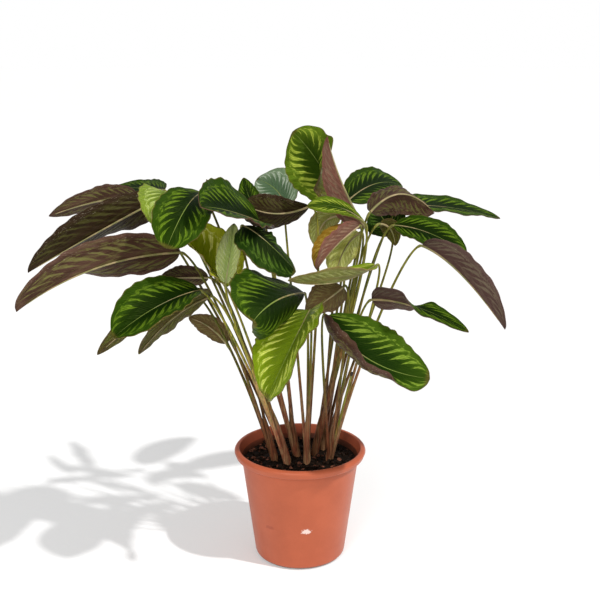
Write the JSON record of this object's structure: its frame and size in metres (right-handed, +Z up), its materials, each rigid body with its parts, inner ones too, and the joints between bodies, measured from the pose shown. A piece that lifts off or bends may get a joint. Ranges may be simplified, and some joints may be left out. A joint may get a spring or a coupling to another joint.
{
  "type": "potted calathea",
  "caption": "Calathea house plant in a round plastic nursery pot, with broad patterned leaves on long thin stalks fanning out of dark soil.",
  "frame": {"origin": "on the pot's axis, at the middle of its flat base", "axes": "+Z up; the plant is seen from -Y in the picture, with +X to the right"},
  "size_m": [0.6112, 0.3919, 0.5554],
  "materials": {
    "pot_plastic": "satin terracotta-coloured plastic",
    "potting_soil": "dark crumbly peat soil",
    "stalk": "smooth brown-green leaf stalk",
    "leaf_deep_green": "satin dark green leaf with light streaks, purple-brown below",
    "leaf_light_green": "satin light green leaf",
    "leaf_purple_brown": "satin leaf with its purple-brown underside showing",
    "leaf_orange_olive": "satin orange-olive young leaf"
  },
  "bodies": {
    "root": {"pot": "pot_plastic", "soil": "potting_soil", "shoot_a": "stalk", "shoot_b": "stalk", "shoot_c": "stalk", "shoot_d": "stalk", "shoot_e": "stalk", "shoot_f": "stalk", "shoot_g": "stalk", "shoot_h": "stalk", "blade_left_1": "leaf_purple_brown", "blade_left_2": "leaf_purple_brown", "blade_left_3": "leaf_purple_brown", "blade_left_4": "leaf_deep_green", "blade_left_5": "leaf_light_green", "blade_left_6": "leaf_deep_green", "blade_left_7": "leaf_deep_green", "blade_left_8": "leaf_purple_brown", "blade_left_9": "leaf_purple_brown", "blade_left_10": "leaf_purple_brown", "blade_left_11": "leaf_purple_brown", "blade_left_12": "leaf_light_green", "blade_left_13": "leaf_light_green", "blade_mid_1": "leaf_deep_green", "blade_mid_2": "leaf_deep_green", "blade_mid_3": "leaf_purple_brown", "blade_mid_4": "leaf_deep_green", "blade_mid_5": "leaf_deep_green", "blade_mid_6": "leaf_deep_green", "blade_mid_7": "leaf_light_green", "blade_mid_8": "leaf_deep_green", "blade_mid_9": "leaf_purple_brown", "blade_mid_10": "leaf_deep_green", "blade_mid_11": "leaf_orange_olive", "blade_mid_12": "leaf_purple_brown", "blade_mid_13": "leaf_purple_brown", "blade_mid_14": "leaf_purple_brown", "blade_mid_15": "leaf_light_green", "blade_right_1": "leaf_deep_green", "blade_right_2": "leaf_purple_brown", "blade_right_3": "leaf_deep_green", "blade_right_4": "leaf_deep_green", "blade_right_5": "leaf_purple_brown", "blade_right_6": "leaf_purple_brown", "blade_right_7": "leaf_deep_green", "blade_right_8": "leaf_deep_green", "blade_right_9": "leaf_deep_green"}
  },
  "joints": []
}
